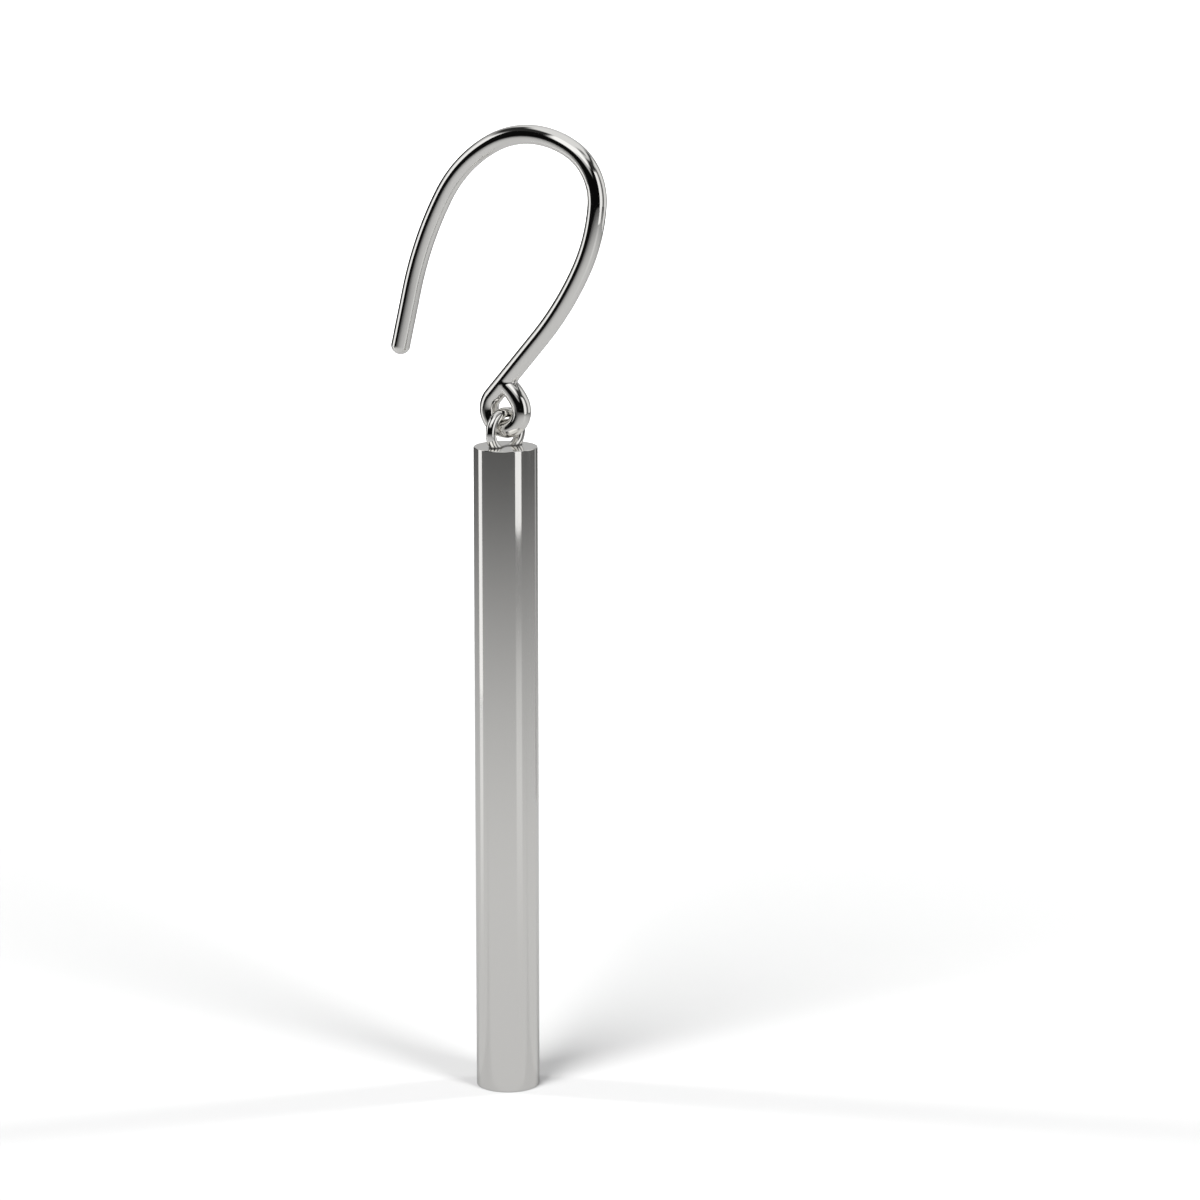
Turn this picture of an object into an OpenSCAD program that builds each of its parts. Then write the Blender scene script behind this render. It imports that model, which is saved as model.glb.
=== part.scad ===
// Drop earring: a round bar that hangs by a soldered ring from a French ear hook.
// The hook lies in the plane x = 0, with its open leg behind, towards +y.
// The origin is the top of the inside of its bow, where it hangs in the ear.

/* [Hook wire] */
// Diameter of the hook's round wire
wire_d = 0.9; // [0.7:0.05:1.1]
// Radius of the bow's crown, to the middle of the wire
crown_r = 4.4; // [3.8:0.1:6]
// Length of the straight end of the open leg
leg_len = 2.8; // [1.6:0.1:6]
// Height of the open leg's rounded tip, as a share of the wire's radius
tip_ratio = 0.8; // [0.3:0.05:1]
// Length of the straight stem above the eye
stem_len = 3.85; // [2.8:0.05:8]

/* [Eye] */
// Clearance between the ring's wire and the eye, to each side
eye_play = 0.18; // [0.1:0.01:0.4]
// Turn of the eye's round bottom past its lowest point, in degrees
eye_turn = 119; // [110:1:122]
// Thickness of the solder over the wire where the eye closes on the stem
solder_t = 0.02; // [0.01:0.01:0.06]

/* [Ring] */
// Diameter of the ring's round wire
ring_wire_d = 0.5; // [0.4:0.05:0.7]
// Clearance between the hook's wire and the ring, to each side
ring_play = 0.21; // [0.1:0.01:0.5]
// Height of the bottom of the ring's hole above the bar's top face
ring_sill = 0.03; // [0.01:0.01:0.2]
// Turn of the ring about the bar's length, in degrees from straight across the hook
ring_turn = 17; // [0:1:30]

/* [Bar] */
// Diameter of the round bar
bar_d = 3; // [2.4:0.1:5]
// Length of the bar
bar_len = 31; // [10:1:60]
// Width of the fine bevel round each end of the bar
bevel_w = 0.04; // [0.02:0.01:0.2]

/* [Fit] */
// Gap between the ring and the eye where the bar hangs
hang_gap = 0.06; // [0.04:0.01:0.1]

/* [Hidden] */
$fn = 64;

// Neighbouring bends of the wire stop this far short of their join
join_gap = 0.01;
// A sleeve of this length closes each join, and stands this far proud of the wire
sleeve_len = 0.06;
sleeve_proud = 0.003;

wire_r = wire_d / 2;
ring_wire_r = ring_wire_d / 2;
eye_r = ring_wire_r + eye_play + wire_r;
ring_r = wire_r + ring_play + ring_wire_r;
tip_h = tip_ratio * wire_r;
bar_r = bar_d / 2;

// The wire is drawn flat, with its front at +x. Each row is one bend: its radius, and the degrees
// that it turns to the left. A radius of 0 is a straight stretch, and its second value is a length.
function bends(scale, rows) = [for (row = rows) [row[0] * scale, row[1]]];

leg = bends(crown_r, [
    // share of the crown's radius, turn
    [1.0, 27],
    [1.5, 33.5],
    [4.0, 16],
]);
front = bends(crown_r, [
    [1.0, -29],
    [0.6, -66],
    [1.9, -21.5],
    [3.6, -14.5],
]);
stem = [[0, stem_len]];
fall = -front[0][1] - front[1][1] - front[2][1] - front[3][1];
eye = bends(eye_r, [
    // share of the eye's radius, turn
    [1.0, fall + eye_turn],
    [2.7, 26],
]);
bow_to_eye = concat(front, stem, eye);

// A place on the wire is [x, y, heading in degrees]
function left_of(heading) = [-sin(heading), cos(heading)];
function moved(place, way, distance) =
    [place[0] + way[0] * distance, place[1] + way[1] * distance, place[2]];
function after_straight(place, length) = moved(place, [cos(place[2]), sin(place[2])], length);
function bend_centre(place, row) = moved(place, left_of(place[2]), sign(row[1]) * row[0]);
function after_bend(place, row) =
    let (
        heading = place[2] + row[1],
        end = moved(bend_centre(place, row), left_of(heading), -sign(row[1]) * row[0])
    )
    [end[0], end[1], heading];
function after(place, row) = row[0] == 0 ? after_straight(place, row[1]) : after_bend(place, row);
function place_at(start, rows, n) = n == 0 ? start : after(place_at(start, rows, n - 1), rows[n - 1]);

crown_back = [0, wire_r, 180];
crown_front = [0, wire_r, 0];
leg_end = place_at(crown_back, leg, len(leg));
eye_start = place_at(crown_front, bow_to_eye, len(front) + len(stem));
eye_low = after_bend(eye_start, [eye_r, fall]);
eye_end = place_at(crown_front, bow_to_eye, len(bow_to_eye));

// The ring's top hangs in the bottom of the eye, and sets the height of the bar
ring_z = eye_low[1] + wire_r + hang_gap + ring_wire_r - ring_r;
bar_top_z = ring_z + ring_wire_r - ring_r - ring_sill;

module upright() {
    rotate([90, 0, -90]) children();
}

// Stands its children on a place of the wire, with +z along the wire
module along(place) {
    translate([place[0], place[1], 0]) rotate([0, 90, place[2]]) children();
}

module straight(place, length) {
    along(place)
        translate([0, 0, join_gap])
            cylinder(d = wire_d, h = length - 2 * join_gap);
}

module bend(place, row) {
    centre = bend_centre(place, row);
    first = row[1] > 0 ? place[2] - 90 : place[2] + row[1] + 90;
    trim = join_gap / row[0] * 180 / PI;
    translate([centre[0], centre[1], 0])
        rotate([0, 0, first + trim])
            rotate_extrude(angle = abs(row[1]) - 2 * trim)
                translate([row[0], 0])
                    circle(d = wire_d);
}

module join(place) {
    along(place) cylinder(r = wire_r + sleeve_proud, h = sleeve_len, center = true);
}

module bent_wire(start, rows) {
    for (n = [0 : len(rows) - 1]) {
        place = place_at(start, rows, n);
        if (n > 0) join(place);
        if (rows[n][0] == 0) straight(place, rows[n][1]);
        else bend(place, rows[n]);
    }
}

// The straight end of the open leg, turned in one with its domed tip
module leg_tip() {
    dome_r = (wire_r * wire_r + tip_h * tip_h) / (2 * tip_h);
    along(leg_end)
        rotate_extrude() {
            translate([0, join_gap]) square([wire_r, leg_len - join_gap]);
            intersection() {
                translate([0, leg_len + tip_h - dome_r]) circle(r = dome_r);
                square([wire_r, leg_len + tip_h]);
            }
        }
}

module ear_hook() {
    color("silver") upright() {
        join(crown_front);
        bent_wire(crown_back, leg);
        join(leg_end);
        leg_tip();
        bent_wire(crown_front, bow_to_eye);
        along(eye_end) sphere(r = wire_r + solder_t);
    }
}

module bar() {
    rotate_extrude()
        polygon([
            [0, 0],
            [bar_r - bevel_w, 0],
            [bar_r, bevel_w],
            [bar_r, bar_len - bevel_w],
            [bar_r - bevel_w, bar_len],
            [0, bar_len],
        ]);
}

module ring() {
    rotate([90, 0, -ring_turn])
        rotate_extrude()
            translate([ring_r, 0])
                circle(d = ring_wire_d);
}

module bar_drop() {
    color("gainsboro") translate([0, -eye_low[0], 0]) {
        translate([0, 0, bar_top_z - bar_len]) bar();
        translate([0, 0, ring_z]) ring();
    }
}

ear_hook();
bar_drop();
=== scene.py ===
import math

import bmesh
import bpy
import numpy as np
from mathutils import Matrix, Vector


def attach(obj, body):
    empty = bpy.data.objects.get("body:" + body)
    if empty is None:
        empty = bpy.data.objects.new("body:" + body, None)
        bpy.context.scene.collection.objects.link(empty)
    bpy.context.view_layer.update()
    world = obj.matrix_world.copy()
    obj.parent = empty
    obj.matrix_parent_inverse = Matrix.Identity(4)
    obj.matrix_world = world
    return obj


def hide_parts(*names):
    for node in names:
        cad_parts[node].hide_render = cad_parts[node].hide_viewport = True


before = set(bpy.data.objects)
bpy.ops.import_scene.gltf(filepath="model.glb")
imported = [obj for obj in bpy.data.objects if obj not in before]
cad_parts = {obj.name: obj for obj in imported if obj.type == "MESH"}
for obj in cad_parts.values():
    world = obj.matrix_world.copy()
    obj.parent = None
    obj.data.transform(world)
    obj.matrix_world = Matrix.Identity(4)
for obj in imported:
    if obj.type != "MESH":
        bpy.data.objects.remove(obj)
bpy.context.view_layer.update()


# The ear hook is one round silver wire, drawn straight, bent round a former into a French hook and
# domed at its open end for the piercing. Its other end is curled into an eye that closes against the
# side of the stem, where a little silver solder runs in and leaves a smooth fillet.
#
# The constants' lengths are in millimetres where MM or metres() turns them, and for the lens. The other
# lengths are in metres, and the angles in degrees.

MM = 0.001
WIRE_R = 0.45
WIRE_SIDES = 72
CROWN_R = 4.4
LEG_LEN = 2.8
TIP_H = 0.36
TIP_ROWS = 20
TIP_WELD = 0.0002
STEM_LEN = 3.85
EYE_R = 0.88
EYE_TURN = 119
EYE_CLOSE_R = 2.7 * EYE_R
EYE_CLOSE_TURN = 26
BOW_STEP = 0.09
EYE_STEP = 0.035
HOOK_FILLET = 0.05
HOOK_FILLET_REACH = 1.1
HOOK_FILLET_RISE = 1.6

# Each row is a bend: its radius, and the degrees that it turns to the left
LEG_BENDS = [
    (CROWN_R, 27),
    (1.5 * CROWN_R, 33.5),
    (4.0 * CROWN_R, 16),
]
FRONT_BENDS = [
    (CROWN_R, -29),
    (0.6 * CROWN_R, -66),
    (1.9 * CROWN_R, -21.5),
    (3.6 * CROWN_R, -14.5),
]
FALL = -sum(turn for _, turn in FRONT_BENDS)

SILVER = (0.93, 0.92, 0.895)
# The darker tone painted as shade near a crevice, where the silver is a little rougher too.
CREVICE_SHADE = (0.87, 0.855, 0.82)
# The near-black tone painted as a shade line along a seam.
SEAM_SHADE = (0.045, 0.042, 0.04)
POLISH = 0.06
CLOUD_SCALE = 420.0
CLOUD_DETAIL = 3.0
CLOUD_ROUGHNESS = 0.03
LINE_DETAIL = 4.0
LINE_ROUGHNESS = 0.05
LINE_BUMP = 0.05
LINE_DEPTH = 0.002
# The painted crevice shade: its least strength, and how much rougher it makes the silver.
CREVICE_SHADE_LEAST = 0.35
CREVICE_SHADE_ROUGHNESS = 0.05
# The painted seam shade line: its least strength, its patchiness, and how much rougher it makes the
# silver.
SEAM_SHADE_LEAST = 0.75
SEAM_SHADE_CLOUD = 0.35
SEAM_SHADE_ROUGHNESS = 0.2
HOOK_GRAIN = (900.0, 2600.0, 2600.0)
# Where the painted shade near the hook's eye is centred, and how far it reaches.
EYE_CREVICE = (0, 1.5, -12.9)
EYE_CREVICE_R = 2.2


class Wire:
    """A wire's centre line in its own flat drawing, walked on from a place and a heading."""

    def __init__(self, place, heading):
        self.place = np.array(place, float)
        self.heading = heading
        self.points = [self.place]
        self.nearest = []

    def way(self, turn=0.0):
        angle = math.radians(self.heading + turn)
        return np.array([math.cos(angle), math.sin(angle)])

    def straight(self, length, step):
        start, way = self.place, self.way()
        count = round(length / step)
        self.points += [start + way * length * n / count for n in range(1, count + 1)]
        self.place = self.points[-1]

        def nearest(flat):
            along = np.clip((flat - start) @ way, 0, length)
            return start + along[:, None] * way

        self.nearest.append(nearest)

    def bend(self, radius, turn, step):
        side = math.copysign(90, turn)
        centre = self.place + radius * self.way(side)
        middle = self.way(turn / 2 - side)
        across = np.array([-middle[1], middle[0]])
        half = math.radians(abs(turn)) / 2
        count = round(2 * half * radius / step)
        self.points += [centre + radius * self.way(turn * n / count - side)
                        for n in range(1, count + 1)]
        self.place = self.points[-1]
        self.heading += turn

        def nearest(flat):
            out = flat - centre
            angle = np.clip(np.arctan2(out @ across, out @ middle), -half, half)[:, None]
            return centre + radius * (np.cos(angle) * middle + np.sin(angle) * across)

        self.nearest.append(nearest)

    def distance(self, flat):
        """How far points of the drawing's plane lie from the centre line."""
        return np.min([np.linalg.norm(flat - nearest(flat), axis=1) for nearest in self.nearest],
                      axis=0)


def smooth_union(first, second, fillet):
    """Joins two distance fields with a soft fillet between them."""
    overlap = np.clip(1 - np.abs(first - second) / np.maximum(fillet, 1e-6), 0, 1)
    return np.minimum(first, second) - overlap ** 2 * fillet / 4


def slope(field, points):
    """Which way, and how fast, a distance field grows at each point."""
    step = 1e-4
    return np.stack([(field(points + way) - field(points - way)) / (2 * step)
                     for way in np.eye(3) * step], axis=1)


def flow_solder(mesh, field, inside):
    """Moves a mesh's points inside a zone onto a field's skin, and turns their normals to it."""
    rounds, least_slope = 8, 0.2
    points = np.empty(len(mesh.vertices) * 3)
    mesh.vertices.foreach_get("co", points)
    points = points.reshape(-1, 3) / MM
    zone = inside(points)
    moved = points[zone]
    for _ in range(rounds):
        grade = slope(field, moved)
        steepness = np.maximum((grade ** 2).sum(1), least_slope)
        moved -= (field(moved) / steepness)[:, None] * grade
    points[zone] = moved
    mesh.vertices.foreach_set("co", (points * MM).ravel())
    normals = np.zeros_like(points)
    grade = slope(field, moved)
    normals[zone] = grade / np.linalg.norm(grade, axis=1)[:, None]
    mesh.update()
    mesh.normals_split_custom_set_from_vertices(normals)


class Maths:
    """A number socket that can stand in an expression, which adds the Math nodes for it."""

    def __init__(self, nodes, socket):
        self.nodes = nodes
        self.socket = socket

    def __add__(self, other): return self.nodes.maths("ADD", self, other)
    def __radd__(self, other): return self.nodes.maths("ADD", other, self)
    def __sub__(self, other): return self.nodes.maths("SUBTRACT", self, other)
    def __rsub__(self, other): return self.nodes.maths("SUBTRACT", other, self)
    def __mul__(self, other): return self.nodes.maths("MULTIPLY", self, other)
    def __rmul__(self, other): return self.nodes.maths("MULTIPLY", other, self)
    def __truediv__(self, other): return self.nodes.maths("DIVIDE", self, other)

    def eased(self, low, high, at_low=0.0, at_high=1.0):
        """Goes smoothly from one value to another as this one goes from low to high."""
        return self.nodes.add("ShaderNodeMapRange", dict(interpolation_type="SMOOTHSTEP"), {
            "Value": self, "From Min": low, "From Max": high,
            "To Min": at_low, "To Max": at_high}).out()


class Made:
    """A node just added, whose outputs can be taken by name."""

    def __init__(self, nodes, node):
        self.nodes = nodes
        self.live = [socket for socket in node.outputs if socket.enabled]

    def out(self, name=None):
        socket = next(socket for socket in self.live if name in (None, socket.name))
        return Maths(self.nodes, socket)


class Nodes:
    """Builds a node tree: add() takes a type, its settings, and its sockets' values or links."""

    def __init__(self, tree):
        self.tree = tree
        tree.nodes.clear()

    def add(self, kind, settings=None, sockets=()):
        node = self.tree.nodes.new(kind)
        for name, value in (settings or {}).items():
            setattr(node, name, value)
        live = [socket for socket in node.inputs if socket.enabled]
        if isinstance(sockets, dict):
            named = {socket.name: socket for socket in live}
            pairs = [(named[name], value) for name, value in sockets.items()]
        else:
            pairs = zip(live, sockets)
        for socket, value in pairs:
            for part in value if isinstance(value, list) else [value]:
                if isinstance(part, Maths):
                    self.tree.links.new(part.socket, socket)
                else:
                    socket.default_value = part
        return Made(self, node)

    def maths(self, operation, *values):
        return self.add("ShaderNodeMath", dict(operation=operation), values).out()

    def vector(self, operation, *values):
        return self.add("ShaderNodeVectorMath", dict(operation=operation), values).out()

    def colour(self, factor, first, second):
        return self.add("ShaderNodeMix", dict(data_type="RGBA"),
                        {"Factor": factor, "A": first, "B": second}).out()


def new_tree(name, inputs):
    tree = bpy.data.node_groups.new(name, "GeometryNodeTree")
    tree.interface.new_socket("Geometry", in_out="INPUT", socket_type="NodeSocketGeometry")
    for label, kind in inputs.items():
        tree.interface.new_socket(label, in_out="INPUT", socket_type="NodeSocket" + kind)
    tree.interface.new_socket("Geometry", in_out="OUTPUT", socket_type="NodeSocketGeometry")
    nodes = Nodes(tree)
    return tree, nodes, nodes.add("NodeGroupInput")


def finish_tree(nodes, mesh, material):
    """Closes up the slivers that a union leaves, then smooths, realizes and dresses the mesh."""
    sliver = 0.001 * MM
    mesh = nodes.add("GeometryNodeMergeByDistance", {}, {"Geometry": mesh, "Distance": sliver})
    mesh = nodes.add("GeometryNodeSetShadeSmooth", {}, (mesh.out(),))
    mesh = nodes.add("GeometryNodeRealizeInstances", {}, (mesh.out(),))
    mesh = nodes.add("GeometryNodeSetMaterial", {}, {"Geometry": mesh.out(), "Material": material})
    nodes.add("NodeGroupOutput", {}, (mesh.out(),))


def grow(piece, tree, values):
    """Runs a Geometry Nodes tree on a piece and leaves its result as a plain mesh."""
    modifier = piece.modifiers.new(tree.name, "NODES")
    modifier.node_group = tree
    for item in tree.interface.items_tree:
        if item.in_out == "INPUT" and item.name in values:
            modifier[item.identifier] = values[item.name]
    depsgraph = bpy.context.evaluated_depsgraph_get()
    mesh = bpy.data.meshes.new_from_object(piece.evaluated_get(depsgraph), depsgraph=depsgraph)
    bpy.data.objects.remove(piece)
    return mesh


def metres(place):
    return tuple(value * MM for value in place)


def put(name, data):
    thing = bpy.data.objects.new(name, data)
    bpy.context.scene.collection.objects.link(thing)
    return thing


def silver(name, crevice, crevice_r, grain, seam=None):
    """Polished silver with faint polishing lines, painted shade darkening it near a crevice, and a
    painted near-black shade line on any seam.
    """
    material = bpy.data.materials.new(name)
    material.use_nodes = True
    nodes = Nodes(material.node_tree)
    place = nodes.add("ShaderNodeTexCoord").out("Object")
    cloud = nodes.add("ShaderNodeTexNoise", {}, {
        "Vector": place, "Scale": CLOUD_SCALE, "Detail": CLOUD_DETAIL}).out("Fac")
    drawn = nodes.add("ShaderNodeMapping", {}, {"Vector": place, "Scale": grain}).out()
    lines = nodes.add("ShaderNodeTexNoise", {}, {
        "Vector": drawn, "Scale": 1.0, "Detail": LINE_DETAIL}).out("Fac")
    away = nodes.vector("LENGTH", nodes.vector("SUBTRACT", place, metres(crevice)))
    # Painted shade: the silver turns darker and rougher towards the crevice, patchily.
    patchy = CREVICE_SHADE_LEAST + cloud * (1 - CREVICE_SHADE_LEAST)
    painted_shade = away.eased(crevice_r * MM, 0.0) * patchy
    tone = nodes.colour(painted_shade, (*SILVER, 1), (*CREVICE_SHADE, 1))
    rough = (POLISH + (cloud - 0.5) * CLOUD_ROUGHNESS + (lines - 0.5) * LINE_ROUGHNESS
             + painted_shade * CREVICE_SHADE_ROUGHNESS)
    if seam:
        # Painted shade: a near-black line along the seam, patchy and a little rougher.
        painted_line = seam(nodes, place) * (SEAM_SHADE_LEAST + cloud * SEAM_SHADE_CLOUD)
        tone = nodes.colour(painted_line, tone, (*SEAM_SHADE, 1))
        rough = rough + painted_line * SEAM_SHADE_ROUGHNESS
    bump = nodes.add("ShaderNodeBump", {}, {
        "Strength": LINE_BUMP, "Distance": LINE_DEPTH * MM, "Height": lines}).out()
    shader = nodes.add("ShaderNodeBsdfPrincipled", {}, {
        "Base Color": tone, "Metallic": 1.0, "Roughness": rough, "Normal": bump}).out()
    nodes.add("ShaderNodeOutputMaterial", {}, (shader,))
    return material


leg = Wire((0, WIRE_R), 180)
for radius, turn in LEG_BENDS:
    leg.bend(radius, turn, BOW_STEP)
leg.straight(LEG_LEN, BOW_STEP)
dome = [leg.place + leg.way() * TIP_H * (1 - (1 - n / TIP_ROWS) ** 2)
        for n in range(1, TIP_ROWS + 1)]

front = Wire((0, WIRE_R), 0)
for radius, turn in FRONT_BENDS:
    front.bend(radius, turn, BOW_STEP)
front.straight(STEM_LEN, EYE_STEP)
front.bend(EYE_R, FALL, EYE_STEP)

close = Wire(front.place, front.heading)
close.bend(EYE_R, EYE_TURN, EYE_STEP)
close.bend(EYE_CLOSE_R, EYE_CLOSE_TURN, EYE_STEP)

centre_line = dome[::-1] + leg.points[::-1] + front.points[1:] + close.points[1:]
curve = bpy.data.curves.new("hook_path", "CURVE")
curve.dimensions = "3D"
spline = curve.splines.new("POLY")
spline.points.add(len(centre_line) - 1)
for point, (x, y) in zip(spline.points, centre_line):
    point.co = (0, -x * MM, y * MM, 1)

tree, nodes, inputs = new_tree("drawn_wire", {
    "Wire Radius": "Float", "Tip Height": "Float", "Sides": "Int", "Material": "Material"})
wire_r, tip_h = inputs.out("Wire Radius"), inputs.out("Tip Height")
dome_r = (wire_r * wire_r + tip_h * tip_h) / (tip_h * 2)
walked = nodes.add("GeometryNodeSplineParameter").out("Length")
down = dome_r - nodes.maths("MINIMUM", walked, tip_h)
swell = nodes.maths("SQRT", dome_r * dome_r - down * down) / wire_r
profile = nodes.add("GeometryNodeCurvePrimitiveCircle", {}, {
    "Resolution": inputs.out("Sides"), "Radius": wire_r}).out()
swept = nodes.add("GeometryNodeCurveToMesh", {}, {
    "Curve": inputs.out("Geometry"), "Profile Curve": profile,
    "Scale": swell, "Fill Caps": True}).out()
merged = nodes.add("GeometryNodeMergeByDistance", {}, {
    "Geometry": swept, "Distance": TIP_WELD * MM}).out()
fused = nodes.add("GeometryNodeMeshBoolean", dict(operation="UNION", solver="EXACT"), {
    "Mesh": merged, "Self Intersection": True}).out()
finish_tree(nodes, fused, inputs.out("Material"))
hook_mesh = grow(put("hook_path", curve), tree, {
    "Wire Radius": WIRE_R * MM, "Tip Height": TIP_H * MM, "Sides": WIRE_SIDES,
    "Material": silver("hook_silver", EYE_CREVICE, EYE_CREVICE_R, HOOK_GRAIN)})

joint = np.array([0, -close.place[0], close.place[1]])


def from_joint(points):
    return np.linalg.norm(points - joint, axis=1)


def hook_field(points):
    flat = np.stack([-points[:, 1], points[:, 2]], axis=1)
    stem = np.hypot(front.distance(flat), points[:, 0]) - WIRE_R
    end = np.hypot(close.distance(flat), points[:, 0]) - WIRE_R
    near = np.clip(HOOK_FILLET_RISE * (1 - from_joint(points) / HOOK_FILLET_REACH), 0, 1)
    return smooth_union(stem, end, HOOK_FILLET * near * near * (3 - 2 * near))


flow_solder(hook_mesh, hook_field, lambda points: from_joint(points) < HOOK_FILLET_REACH)
ear_hook = put("ear_hook_wire", hook_mesh)
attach(ear_hook, "hook")
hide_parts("ear_hook")


# The drop is a length of solid round silver rod, sawn square, faced flat and polished bright, with its
# edges just broken. A small ring of thin round wire, linked through the hook's eye, is let into the
# middle of the top face and soldered there, so rod and ring are one piece of metal.

DROP_Y = -front.place[0]
EYE_LOW_Z = front.place[1]
HANG_GAP = 0.06
RING_WIRE_R = 0.25
RING_R = 0.91
RING_SILL = 0.03
RING_TURN = 17
RING_Z = EYE_LOW_Z + WIRE_R + HANG_GAP + RING_WIRE_R - RING_R
RING_PLACE = (0, DROP_Y, RING_Z)
RING_AXIS = (math.sin(math.radians(RING_TURN)), math.cos(math.radians(RING_TURN)), 0)
RING_STEPS = 200
RING_SIDES = 56
RING_FILLET = 0.04
SEAM_WIDTH = 0.10
BAR_R = 1.5
BAR_LEN = 31
BAR_TOP = RING_Z + RING_WIRE_R - RING_R - RING_SILL
BAR_EDGE = 0.04
BAR_SIDES = 192
EDGE_ROWS = 6
SEAT_R = 1.2
SEAT_ROWS = 44
OUTER_ROWS = [1.3, 1.4]
BAR_GRAIN = (5200.0, 5200.0, 260.0)
# Where the painted shade near the ring's foot is centred, and how far it reaches.
RING_CREVICE = (0, DROP_Y, BAR_TOP + 0.2)
RING_CREVICE_R = 1.0


def rod_outline():
    """The rod's radii and heights, from near the middle of its top face to its bottom face."""
    seat = [SEAT_R * n / SEAT_ROWS for n in range(1, SEAT_ROWS + 1)]
    turns = [math.pi / 2 * n / EDGE_ROWS for n in range(EDGE_ROWS + 1)]
    edge = [(BAR_R - BAR_EDGE + BAR_EDGE * math.sin(a), BAR_EDGE * (1 - math.cos(a)))
            for a in turns]
    return ([(r, BAR_TOP) for r in seat + OUTER_ROWS] + [(r, BAR_TOP - depth) for r, depth in edge]
            + [(r, BAR_TOP - BAR_LEN + depth) for r, depth in edge[::-1]])


def neighbours(ring):
    return zip(ring, ring[1:] + ring[:1])


def turned_rod():
    bm = bmesh.new()
    rings = []
    for r, z in rod_outline():
        angles = [2 * math.pi * n / BAR_SIDES for n in range(BAR_SIDES)]
        rings.append([bm.verts.new((r * math.cos(a) * MM, (DROP_Y + r * math.sin(a)) * MM, z * MM))
                      for a in angles])
    for above, below in zip(rings, rings[1:]):
        for (a, b), (c, d) in zip(neighbours(above), neighbours(below)):
            bm.faces.new((a, c, d, b))
    for ring, z, order in ((rings[0], BAR_TOP, 1), (rings[-1], BAR_TOP - BAR_LEN, -1)):
        hub = bm.verts.new((0, DROP_Y * MM, z * MM))
        for a, b in neighbours(ring):
            bm.faces.new((hub, a, b)[::order])
    mesh = bpy.data.meshes.new("rod")
    bm.to_mesh(mesh)
    bm.free()
    return mesh


def seam_shade_line(nodes, place):
    """A painted shade line: near black where the ring meets the top face, standing in for the dark
    crevice there.
    """
    offset = nodes.vector("SUBTRACT", place, metres(RING_PLACE))
    aside = nodes.vector("DOT_PRODUCT", offset, RING_AXIS) / MM
    away = nodes.vector("LENGTH", offset) / MM
    out = nodes.maths("SQRT", away * away - aside * aside) - RING_R
    ring = nodes.maths("SQRT", out * out + aside * aside) - RING_WIRE_R
    face = nodes.add("ShaderNodeSeparateXYZ", {}, (place,)).out("Z") / MM - BAR_TOP
    return nodes.maths("ABSOLUTE", ring - face).eased(SEAM_WIDTH, 0.0)


tree, nodes, inputs = new_tree("ring_in_rod", {
    "Ring Radius": "Float", "Ring Wire Radius": "Float", "Ring Place": "Vector",
    "Ring Turn": "Float", "Material": "Material"})
loop = nodes.add("GeometryNodeCurvePrimitiveCircle", {}, {
    "Resolution": RING_STEPS, "Radius": inputs.out("Ring Radius")}).out()
profile = nodes.add("GeometryNodeCurvePrimitiveCircle", {}, {
    "Resolution": RING_SIDES, "Radius": inputs.out("Ring Wire Radius")}).out()
ring = nodes.add("GeometryNodeCurveToMesh", {}, {"Curve": loop, "Profile Curve": profile}).out()
turn = nodes.add("ShaderNodeCombineXYZ", {}, (math.pi / 2, 0.0, inputs.out("Ring Turn"))).out()
ring = nodes.add("GeometryNodeTransform", {}, {
    "Geometry": ring, "Translation": inputs.out("Ring Place"), "Rotation": turn}).out()
fused = nodes.add("GeometryNodeMeshBoolean", dict(operation="UNION", solver="EXACT"), {
    "Mesh": [inputs.out("Geometry"), ring]}).out()
finish_tree(nodes, fused, inputs.out("Material"))
# The bar's silver gets painted shade near the ring's foot and a painted shade line along the seam.
drop_mesh = grow(put("rod", turned_rod()), tree, {
    "Ring Radius": RING_R * MM, "Ring Wire Radius": RING_WIRE_R * MM,
    "Ring Place": metres(RING_PLACE), "Ring Turn": math.radians(-RING_TURN),
    "Material": silver("bar_silver", RING_CREVICE, RING_CREVICE_R, BAR_GRAIN, seam_shade_line)})


def drop_field(points):
    offset = points - np.array(RING_PLACE)
    aside = offset @ np.array(RING_AXIS)
    away = np.linalg.norm(offset - aside[:, None] * np.array(RING_AXIS), axis=1)
    ring = np.hypot(away - RING_R, aside) - RING_WIRE_R
    out = np.hypot(points[:, 0], points[:, 1] - DROP_Y) - (BAR_R - BAR_EDGE)
    up = np.abs(points[:, 2] - (BAR_TOP - BAR_LEN / 2)) - (BAR_LEN / 2 - BAR_EDGE)
    outside = np.hypot(np.maximum(out, 0), np.maximum(up, 0))
    rod = outside + np.minimum(np.maximum(out, up), 0) - BAR_EDGE
    return smooth_union(ring, rod, RING_FILLET)


flow_solder(drop_mesh, drop_field, lambda points: np.full(len(points), True))
bar_drop = put("bar_and_ring", drop_mesh)
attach(bar_drop, "drop")
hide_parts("bar_drop")


# The camera looks down a little on the earring, whose bar stands on the floor. What follows is placed
# by its direction from the foot of the bar: an azimuth of 0 degrees lies straight ahead of the camera,
# and azimuths grow to the right.

LENS = 142.22
SENSOR = 36
CAMERA_PLACE = (-0.18615, -0.11111, 0.02485)
CAMERA_NEAR = 0.01
CAMERA_DIP = 12.031
CAMERA_TURN = -60
RIGHT = Vector((math.cos(math.radians(CAMERA_TURN)), math.sin(math.radians(CAMERA_TURN)), 0))
AHEAD = Vector((-RIGHT.y, RIGHT.x, 0))
FLOOR_DROP = 0.01
BASE = Vector(metres((0, DROP_Y, BAR_TOP - BAR_LEN - FLOOR_DROP)))


def towards(azimuth):
    angle = math.radians(azimuth)
    return RIGHT * math.sin(angle) + AHEAD * math.cos(angle)


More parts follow.
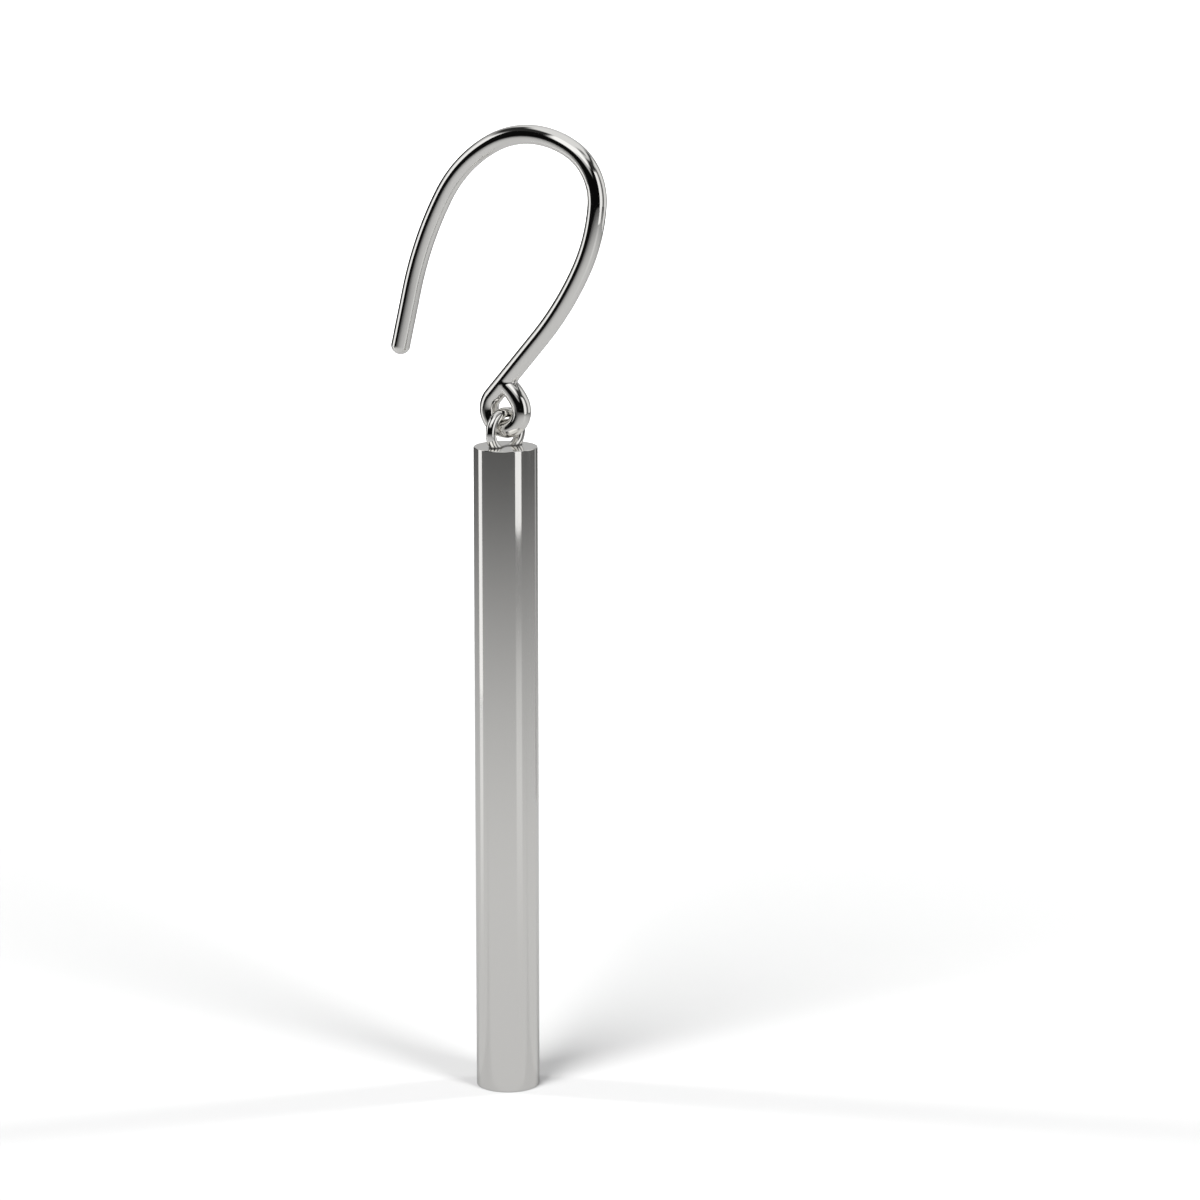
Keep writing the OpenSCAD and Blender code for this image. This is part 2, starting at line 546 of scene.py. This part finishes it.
camera_data = bpy.data.cameras.new("camera")
camera_data.lens = LENS
camera_data.sensor_width = SENSOR
camera_data.clip_start = CAMERA_NEAR
camera = put("camera", camera_data)
camera.location = CAMERA_PLACE
camera.rotation_euler = (math.radians(90 - CAMERA_DIP), 0, math.radians(CAMERA_TURN))
bpy.context.scene.camera = camera
bpy.context.scene.view_settings.view_transform = "Standard"


# White boards stand upright round the earring and face it. They are lit from outside the tent, so
# each is a sheet that only gives light, and the silver shows them as long bright strips. The left and
# the right board go on below as a narrower foot, and the third foot stands low beside the side board.

BOARDS = [
    # name, azimuth, distance, width, foot, top, brightness
    ("left_board", -82, 0.083, 0.038, 0.022, 0.100, 0.90),
    ("left_foot", -77.3, 0.083, 0.028, 0.0, 0.022, 0.90),
    ("right_board", 134, 0.080, 0.038, 0.022, 0.094, 0.88),
    ("right_foot", 133, 0.080, 0.0335, 0.0115, 0.022, 0.88),
    ("side_board", 75, 0.055, 0.029, 0.022, 0.089, 0.72),
    ("side_foot", 46, 0.056, 0.009, 0.0, 0.024, 0.38),
]

for name, azimuth, distance, width, foot, top, brightness in BOARDS:
    way = towards(azimuth)
    along = Vector((-way.y, way.x, 0)) * width / 2
    low, high = (BASE + way * distance + Vector((0, 0, z)) for z in (foot, top))
    mesh = bpy.data.meshes.new(name)
    mesh.from_pydata([low - along, low + along, high + along, high - along], [], [(0, 1, 2, 3)])
    sheet = bpy.data.materials.new(name)
    sheet.use_nodes = True
    nodes = Nodes(sheet.node_tree)
    glow = nodes.add("ShaderNodeEmission", {}, {"Strength": brightness}).out()
    nodes.add("ShaderNodeOutputMaterial", {}, (glow,))
    mesh.materials.append(sheet)
    board = put(name, mesh)
    board.visible_camera = board.visible_shadow = False


# Four far soft lamps light the floor and throw the shadows: a broad key over the camera's left
# shoulder, a broad lamp over its right one, and a narrow lamp from each side. The silver doesn't
# mirror them, only the tent and its boards.

LAMPS = [
    # name, azimuth, elevation, spread, strength
    ("key", -147, 42, 32, 23.6),
    ("strip_lamp", 137, 22, 22, 18.8),
    ("side_lamp", 72, 18, 7, 8.3),
    ("left_lamp", -77, 18, 7, 8.3),
]

for name, azimuth, elevation, spread, strength in LAMPS:
    rise = math.radians(elevation)
    way = towards(azimuth) * math.cos(rise) + Vector((0, 0, math.sin(rise)))
    light = bpy.data.lights.new(name, "SUN")
    light.angle = math.radians(spread)
    light.energy = strength
    lamp = put(name, light)
    lamp.location = BASE + way
    lamp.rotation_euler = way.to_track_quat("Z", "Y").to_euler()
    lamp.visible_camera = lamp.visible_glossy = False


# The floor is a sheet of white paper that melts into the white behind it. The silver mirrors it as
# a grey sheet of its own, with painted shade that darkens it with distance and a painted glow of the
# two tall boards on it in streaks, and ends it where the tent begins.

FLOOR_R = 1.5
FLOOR_SIDES = 96
PAPER_WHITE = (0.11, 0.11, 0.11, 1)
GLOW_START, GLOW_END = 0.04, 0.25
MIRRORED_NEAR, MIRRORED_FAR = 0.059, 0.0100
MIRRORED_START, MIRRORED_END, MIRRORED_EDGE = 0.03, 0.185, 0.205
STREAK_START, STREAK_FADE, STREAK_END = 0.015, 0.09, 0.12
STREAK_SOFT = 3
STREAKS = [
    # azimuth, half width, reach, gain
    (-77, 9, 0.095, 0.7),
    (133, 11, 0.085, 0.3),
]

floor_mesh = bpy.data.meshes.new("floor")
bm = bmesh.new()
bmesh.ops.create_circle(bm, cap_ends=True, segments=FLOOR_SIDES, radius=FLOOR_R)
bmesh.ops.translate(bm, verts=bm.verts, vec=BASE)
bm.to_mesh(floor_mesh)
bm.free()
paper = bpy.data.materials.new("floor_paper")
paper.use_nodes = True


def azimuth_of(nodes, way):
    side = nodes.vector("DOT_PRODUCT", way, tuple(RIGHT))
    deep = nodes.vector("DOT_PRODUCT", way, tuple(AHEAD))
    return nodes.maths("ARCTAN2", side, deep) * (180 / math.pi)


nodes = Nodes(paper.node_tree)
place = nodes.add("ShaderNodeTexCoord").out("Object")
offset = nodes.vector("SUBTRACT", place, tuple(BASE))
away = nodes.vector("LENGTH", offset)
around = azimuth_of(nodes, offset)
# Painted shade: the mirrored paper's grey falls off with distance from the bar's foot.
grey = away.eased(MIRRORED_START, MIRRORED_END, MIRRORED_NEAR, MIRRORED_FAR)
# Painted glow of the tall boards: brighter streaks on the mirrored paper at their azimuths.
for azimuth, half, reach, gain in STREAKS:
    aside = nodes.maths("ABSOLUTE", around - azimuth)
    streak = aside.eased(half + STREAK_SOFT, half - STREAK_SOFT) * away.eased(STREAK_START, reach)
    grey = grey * (1.0 + gain * (streak * away.eased(STREAK_END, STREAK_FADE)))
grey = nodes.add("ShaderNodeCombineColor", {}, (grey, grey, grey)).out()
mirrored = nodes.add("ShaderNodeBsdfDiffuse", {}, {"Color": grey}).out()
open_end = nodes.add("ShaderNodeBsdfTransparent").out()
there = away.eased(MIRRORED_EDGE, MIRRORED_END)
mirrored = nodes.add("ShaderNodeMixShader", {}, (there, open_end, mirrored)).out()
white = nodes.add("ShaderNodeBsdfDiffuse", {}, {"Color": PAPER_WHITE}).out()
glow = nodes.add("ShaderNodeEmission", {}, {"Strength": away.eased(GLOW_START, GLOW_END)}).out()
bright = nodes.add("ShaderNodeAddShader", {}, (white, glow)).out()
seen = nodes.add("ShaderNodeLightPath").out("Is Camera Ray")
surface = nodes.add("ShaderNodeMixShader", {}, (seen, mirrored, bright)).out()
nodes.add("ShaderNodeOutputMaterial", {}, (surface,))
floor_mesh.materials.append(paper)
put("floor", floor_mesh)


# The tent is white cloth round and over everything, brighter towards its top. Soft-edged cards hang in
# it, white ones and black ones, each over what is already there, and the silver mirrors them as its
# bright and dark bands. To the camera the tent is plain white.

TENT_LOW, TENT_TOP = 5, 70
TENT_LOW_SHADE, TENT_TOP_SHADE = 0.45, 0.73
CARDS = [
    # azimuth, half width, lowest, highest, brightness, soft edge
    (-42, 26, -10, 24, 0.02, 8),
    (38, 20, -12, 34, 0.33, 8),
    (-73, 17, 13, 33, 0.78, 5),
    (75, 15, -40, 40, 0.74, 4),
    (104, 8, -40, 38, 0.08, 4),
    (-85, 44, 36, 60, 0.025, 5),
    (-38, 8, 30, 46, 0.08, 6),
    (-114, 20, -40, 40, 0.004, 5),
    (52, 12, 36, 45, 0.08, 4),
    (84, 26, 42, 53, 0.04, 4),
    (146, 26, 57, 69, 0.18, 6),
    (135, 27, 34, 52, 0.03, 4),
    (166, 18, -40, 42, 0.003, 4),
    (-160, 40, -40, 18, 0.003, 4),
    (176, 9, 34, 60, 0.75, 5),
    (-156, 29, 30, 60, 1.0, 4),
    (-138, 10, 22, 36, 1.0, 4),
]

world = bpy.data.worlds.new("tent")
bpy.context.scene.world = world
world.use_nodes = True
nodes = Nodes(world.node_tree)
way = nodes.add("ShaderNodeTexCoord").out("Generated")
around = azimuth_of(nodes, way)
height = nodes.add("ShaderNodeSeparateXYZ", {}, (way,)).out("Z")
rise = nodes.maths("ARCSINE", height) * (180 / math.pi)
shade = rise.eased(TENT_LOW, TENT_TOP, TENT_LOW_SHADE, TENT_TOP_SHADE)
for azimuth, half, low, high, brightness, soft in CARDS:
    aside = nodes.maths("ABSOLUTE", nodes.maths("WRAP", around - azimuth, 180.0, -180.0))
    card = aside.eased(half + soft, half - soft)
    card = card * rise.eased(low - soft, low + soft) * rise.eased(high + soft, high - soft)
    shade = shade + (brightness - shade) * card
seen = nodes.add("ShaderNodeLightPath").out("Is Camera Ray")
shade = shade + (1.0 - shade) * seen
sky = nodes.add("ShaderNodeBackground", {}, {"Color": (1, 1, 1, 1), "Strength": shade}).out()
nodes.add("ShaderNodeOutputWorld", {}, (sky,))
